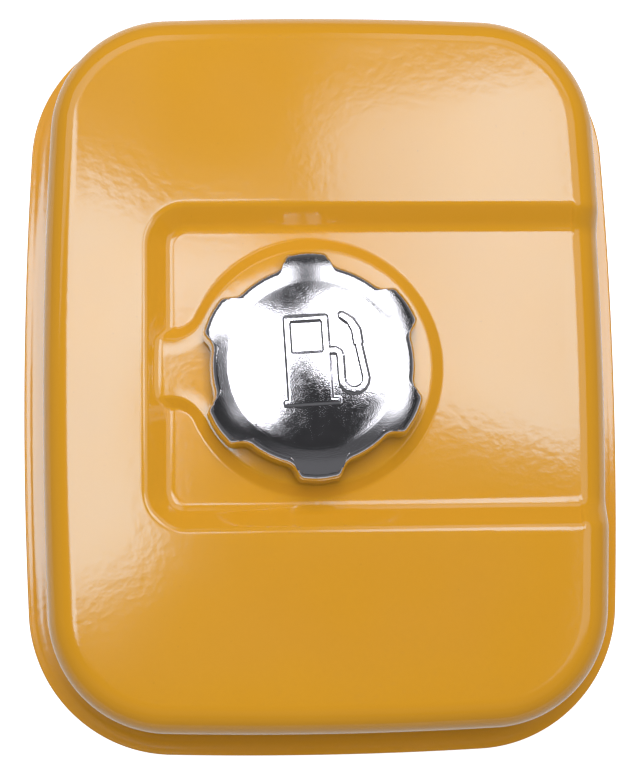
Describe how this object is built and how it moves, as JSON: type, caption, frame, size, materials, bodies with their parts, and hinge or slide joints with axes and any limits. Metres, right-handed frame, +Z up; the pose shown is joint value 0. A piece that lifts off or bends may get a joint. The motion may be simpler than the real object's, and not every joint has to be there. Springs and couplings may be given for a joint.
{
  "type": "engine fuel tank",
  "caption": "Pressed steel fuel tank for a small petrol engine, two shells joined at a flange, with a shallow tray in its top, a lobed bayonet filler cap, a hose outlet and bolt-on feet.",
  "frame": {"origin": "middle of the tank's plan at the level of the bracket feet", "axes": "+Z up, +Y along the tank's length towards the rear bracket, +X towards the side where the tray is open"},
  "size_m": [0.1852, 0.231, 0.1478],
  "materials": {
    "tank_paint": "glossy powder coat, golden yellow",
    "cap_chrome": "bright chrome plate with a fine grain",
    "zinc_steel": "bright zinc plate",
    "brass": "machined",
    "nylon": "natural nylon",
    "rubber": "moulded",
    "foam": "open-cell foam"
  },
  "bodies": {
    "tank": {"upper_shell": "tank_paint", "lower_shell": "tank_paint", "filler_neck": "tank_paint", "strainer_frame": "nylon", "strainer_mesh": "nylon", "outlet_boss": "tank_paint", "outlet_joint": "brass", "outlet_o_ring": "rubber", "outlet_screen": "nylon", "front_bracket_left": "tank_paint", "front_bracket_right": "tank_paint", "rear_bracket": "tank_paint", "support_rubbers": "rubber"},
    "cap_seal": {"cap_gasket": "rubber", "seal_plate": "zinc_steel", "cap_spring": "zinc_steel"},
    "cap": {"cap_shell": "cap_chrome", "bayonet_plate": "zinc_steel", "breather_foam": "foam", "vent_baffle": "zinc_steel", "vent_rivet": "zinc_steel"}
  },
  "joints": [
    {"name": "cap_lift", "type": "slide", "parent": "tank", "child": "cap_seal", "axis": [0, 0, 1], "range_m": [0, 0.09]},
    {"name": "cap_turn", "type": "hinge", "parent": "cap_seal", "child": "cap", "pos_m": [-0.0048, -0.0014, 0.1375], "axis": [0, 0, -1], "range_deg": [0, 90]}
  ]
}
